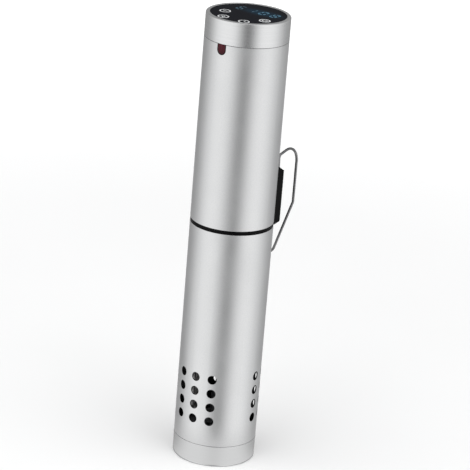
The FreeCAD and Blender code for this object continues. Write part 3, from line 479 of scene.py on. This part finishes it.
def segment_ends(name):
    half_w = DIGIT_WIDTH / 2
    half_h = DIGIT_HEIGHT / 2
    return {
        "a": ((-half_w, half_h), (half_w, half_h)),
        "b": ((half_w, half_h), (half_w, 0)),
        "c": ((half_w, 0), (half_w, -half_h)),
        "d": ((-half_w, -half_h), (half_w, -half_h)),
        "e": ((-half_w, 0), (-half_w, -half_h)),
        "f": ((-half_w, half_h), (-half_w, 0)),
        "g": ((-half_w, 0), (half_w, 0)),
    }[name]


def draw_segment(shape, name, centre, bottom, top):
    """One lit bar with pointed ends, short of the corners, in a slightly leaning digit."""
    start, end = (Vector(p) for p in segment_ends(name))
    along = (end - start).normalized()
    aside = Vector((-along.y, along.x))
    half = DIGIT_STROKE / 2
    gap = half * 1.25
    start += along * gap
    end -= along * gap
    corners = (start, start + (along + aside) * half, end + (aside - along) * half,
               end, end - (along + aside) * half, start + (along - aside) * half)
    outline = [(centre[0] + p.x + p.y * DIGIT_LEAN, centre[1] + p.y) for p in corners]
    slab(shape, outline, bottom, top)


def make_digits(reading="6108"):
    top = GLASS_TOP + PRINT_THICKNESS
    for place, digit in enumerate(reading):
        centre = (DIGIT_START + DIGIT_PITCH * place, DIGIT_ROW)

        def draw_digit(shape, spot=centre, lit=SEGMENTS[digit]):
            for name in lit:
                draw_segment(shape, name, spot, GLASS_TOP, top)

        glow = GLOW["faint" if place < FAINT_DIGITS else "bright"]
        new_print(f"digit_{place + 1}", draw_digit, glow)


make_icons()
make_digits()

# ---------------------------------------------------------------- stage, light and camera

VIEW_AZIMUTH = 34.0
CAMERA_AT = Vector((1.0714, -1.5835, 0.8463))
CAMERA_AIM = Vector((0.00275, 0.00184, 0.1802))
CAMERA_ROLL = 4.69
CAMERA_LENS = 202.7


def emission_material(name, colour, strength, clear=0.0):
    """A surface that gives its own light, and lets a share of what is behind it through."""
    material = bpy.data.materials.new(name)
    material.use_nodes = True
    tree = material.node_tree
    tree.nodes.clear()
    glow = tree.nodes.new("ShaderNodeEmission")
    glow.inputs["Color"].default_value = (*colour, 1.0)
    glow.inputs["Strength"].default_value = strength
    output = tree.nodes.new("ShaderNodeOutputMaterial")
    veil = tree.nodes.new("ShaderNodeBsdfTransparent")
    share = tree.nodes.new("ShaderNodeMixShader")
    share.inputs["Fac"].default_value = clear
    tree.links.new(glow.outputs["Emission"], share.inputs[1])
    tree.links.new(veil.outputs["BSDF"], share.inputs[2])
    tree.links.new(share.outputs["Shader"], output.inputs["Surface"])
    return material


FLOOR_REACH = 8.0
# the floor lights itself from here on outwards, where the light overhead fades
FADE_START = 0.35
FADE_END = 2.4
FADE_GLOW = 0.8
DOME_RADIUS = 7.5
DOME_GLOW = 0.97
GLINT_INNER = 33.5 * MM
GLINT_OUTER = 85 * MM
GLINT_BOTTOM = 0.2 * MM
GLINT_TOP = 0.4 * MM
GLINT_CLEAR = 0.35
# how strongly the glint shines on the side away from the camera, and on the near side
GLINT_FAR = 0.42
GLINT_NEAR = 0.78
# the far side ends and the near side starts at these cosines of the angle from the camera's side
GLINT_FAR_END = -0.5
GLINT_NEAR_START = 0.7


def floor_look():
    """Matt and pale, with its own light far out."""
    look = Shader("pale_floor", (0.9, 0.9, 0.9), 0.0, 0.8)
    look.vary_colour(look.noise(3, 2.0), (0.89, 0.89, 0.89), (0.91, 0.91, 0.91))
    look.set(Specular_IOR_Level=0.0, Emission_Color=(1, 1, 1, 1))
    far = look.maths("MULTIPLY", look.ramp_between(from_axis(look), FADE_START, FADE_END), FADE_GLOW)
    look.link(far, look.shader.inputs["Emission Strength"])
    return look.material


def glint_look():
    """Light from the floor that is strongest on the side of the picture's camera."""
    material = emission_material("floor_glint", (1, 1, 1), GLINT_NEAR, GLINT_CLEAR)
    tree = material.node_tree
    coordinate = tree.nodes.new("ShaderNodeTexCoord")
    unit = tree.nodes.new("ShaderNodeVectorMath")
    unit.operation = "NORMALIZE"
    facing = tree.nodes.new("ShaderNodeVectorMath")
    facing.operation = "DOT_PRODUCT"
    near = math.radians(VIEW_AZIMUTH)
    facing.inputs[1].default_value = (math.sin(near), -math.cos(near), 0)
    span = tree.nodes.new("ShaderNodeMapRange")
    span.interpolation_type = "SMOOTHSTEP"
    span.inputs["From Min"].default_value = GLINT_FAR_END
    span.inputs["From Max"].default_value = GLINT_NEAR_START
    span.inputs["To Min"].default_value = GLINT_FAR
    span.inputs["To Max"].default_value = GLINT_NEAR
    tree.links.new(coordinate.outputs["Object"], unit.inputs[0])
    tree.links.new(unit.outputs["Vector"], facing.inputs[0])
    tree.links.new(facing.outputs["Value"], span.inputs["Value"])
    tree.links.new(span.outputs["Result"], tree.nodes["Emission"].inputs["Strength"])
    return material


def hide_from(thing, *kinds):
    """Make a piece of the stage unseen by some kinds of ray."""
    for kind in kinds:
        setattr(thing, "visible_" + kind, False)


def make_floor():
    """A pale floor; the metal reflects the studio round it and not the floor."""
    mesh = bpy.data.meshes.new("floor")
    reach = FLOOR_REACH
    mesh.from_pydata([(-reach, -reach, 0), (reach, -reach, 0), (reach, reach, 0), (-reach, reach, 0)],
                     [], [(0, 1, 2, 3)])
    floor = bpy.data.objects.new("floor", mesh)
    bpy.context.collection.objects.link(floor)
    mesh.materials.append(floor_look())
    hide_from(floor, "glossy")


def make_glint():
    """What the lowest few centimetres of the tube mirror: the bright floor right beside it."""
    glint = new_object(
        "floor_glint",
        lambda s: band(s, (0, 0), GLINT_INNER, GLINT_OUTER, 0, 360, GLINT_BOTTOM, GLINT_TOP, 96),
        glint_look())
    hide_from(glint, "camera", "diffuse", "transmission", "shadow")


def make_dome():
    """A pale dome that only the camera sees."""
    dome = new_object(
        "dome",
        lambda s: bmesh.ops.create_icosphere(s, subdivisions=4, radius=DOME_RADIUS),
        emission_material("pale_dome", (1, 1, 1), DOME_GLOW))
    hide_from(dome, "glossy", "diffuse", "transmission", "shadow")


# How bright the studio is at each azimuth, counted from the camera's side.
STUDIO = (
    (-180, 0.34), (-128, 0.3), (-106, 0.56), (-90, 0.84), (-74, 1.0), (-50, 1.02), (-32, 0.97),
    (-20, 0.68), (-9, 0.38), (3, 0.1), (15, 0.37), (26, 0.69), (38, 1.0), (53, 1.04), (74, 0.99),
    (90, 0.83), (106, 0.62), (128, 0.38), (180, 0.34),
)


def make_world():
    """A studio of upright soft lights: a dark gap behind the camera and a bright wall on each side."""
    world = bpy.data.worlds.new("studio")
    bpy.context.scene.world = world
    world.use_nodes = True
    tree = world.node_tree
    tree.nodes.clear()

    coordinate = tree.nodes.new("ShaderNodeTexCoord")
    turn = tree.nodes.new("ShaderNodeMapping")
    turn.inputs["Rotation"].default_value = (0, 0, math.radians(-VIEW_AZIMUTH))
    tree.links.new(coordinate.outputs["Generated"], turn.inputs["Vector"])
    split = tree.nodes.new("ShaderNodeSeparateXYZ")
    tree.links.new(turn.outputs["Vector"], split.inputs["Vector"])
    towards = maths_step(tree, "MULTIPLY", split.outputs["Y"], -1.0)
    azimuth = maths_step(tree, "ARCTAN2", split.outputs["X"], towards)
    place = maths_step(tree, "ADD", maths_step(tree, "DIVIDE", azimuth, math.tau), 0.5)
    ramp = tree.nodes.new("ShaderNodeValToRGB")
    ramp.color_ramp.interpolation = "B_SPLINE"
    stops = ramp.color_ramp.elements
    while len(stops) > 1:
        stops.remove(stops[-1])
    for number, (angle, level) in enumerate(STUDIO):
        stop = stops[0] if number == 0 else stops.new(angle / 360 + 0.5)
        stop.position = angle / 360 + 0.5
        stop.color = (level * 0.995, level, level * 1.003, 1)
    tree.links.new(place, ramp.inputs["Fac"])
    background = tree.nodes.new("ShaderNodeBackground")
    background.inputs["Strength"].default_value = 1.0
    tree.links.new(ramp.outputs["Color"], background.inputs["Color"])
    output = tree.nodes.new("ShaderNodeOutputWorld")
    tree.links.new(background.outputs["Background"], output.inputs["Surface"])


TOP_LIGHT_HEIGHT = 2.6
TOP_LIGHT_DISTANCE = 0.6
TOP_LIGHT_SIDE = 2.4
TOP_LIGHT_POWER = 46
OBJECT_MIDDLE = Vector((0, 0, 0.18))


def make_top_light():
    """A big soft light overhead, a little towards the camera, which the metal doesn't mirror."""
    light = bpy.data.lights.new("top_light", "AREA")
    light.shape = "RECTANGLE"
    light.size = TOP_LIGHT_SIDE
    light.size_y = TOP_LIGHT_SIDE
    light.energy = TOP_LIGHT_POWER
    lamp = bpy.data.objects.new("top_light", light)
    angle = math.radians(VIEW_AZIMUTH)
    reach = TOP_LIGHT_DISTANCE
    lamp.location = (reach * math.sin(angle), -reach * math.cos(angle), TOP_LIGHT_HEIGHT)
    lamp.rotation_euler = (OBJECT_MIDDLE - lamp.location).to_track_quat("-Z", "Y").to_euler()
    bpy.context.collection.objects.link(lamp)
    hide_from(lamp, "glossy")


def make_camera():
    """A long lens that looks down at the tube, rolled so that the tube leans as it does in the picture."""
    forward = (CAMERA_AIM - CAMERA_AT).normalized()
    right = forward.cross(Vector((0, 0, 1))).normalized()
    up = right.cross(forward)
    roll = math.radians(CAMERA_ROLL)
    tilted_right = right * math.cos(roll) + up * math.sin(roll)
    tilted_up = up * math.cos(roll) - right * math.sin(roll)
    turn = Matrix((tilted_right, tilted_up, -forward)).transposed()
    data = bpy.data.cameras.new("camera")
    data.lens = CAMERA_LENS
    data.sensor_width = 36
    data.clip_end = 50
    camera = bpy.data.objects.new("camera", data)
    camera.matrix_world = Matrix.Translation(CAMERA_AT) @ turn.to_4x4()
    bpy.context.collection.objects.link(camera)
    bpy.context.scene.camera = camera


make_floor()
make_glint()
make_dome()
make_world()
make_top_light()
make_camera()
bpy.context.scene.view_settings.view_transform = "Standard"
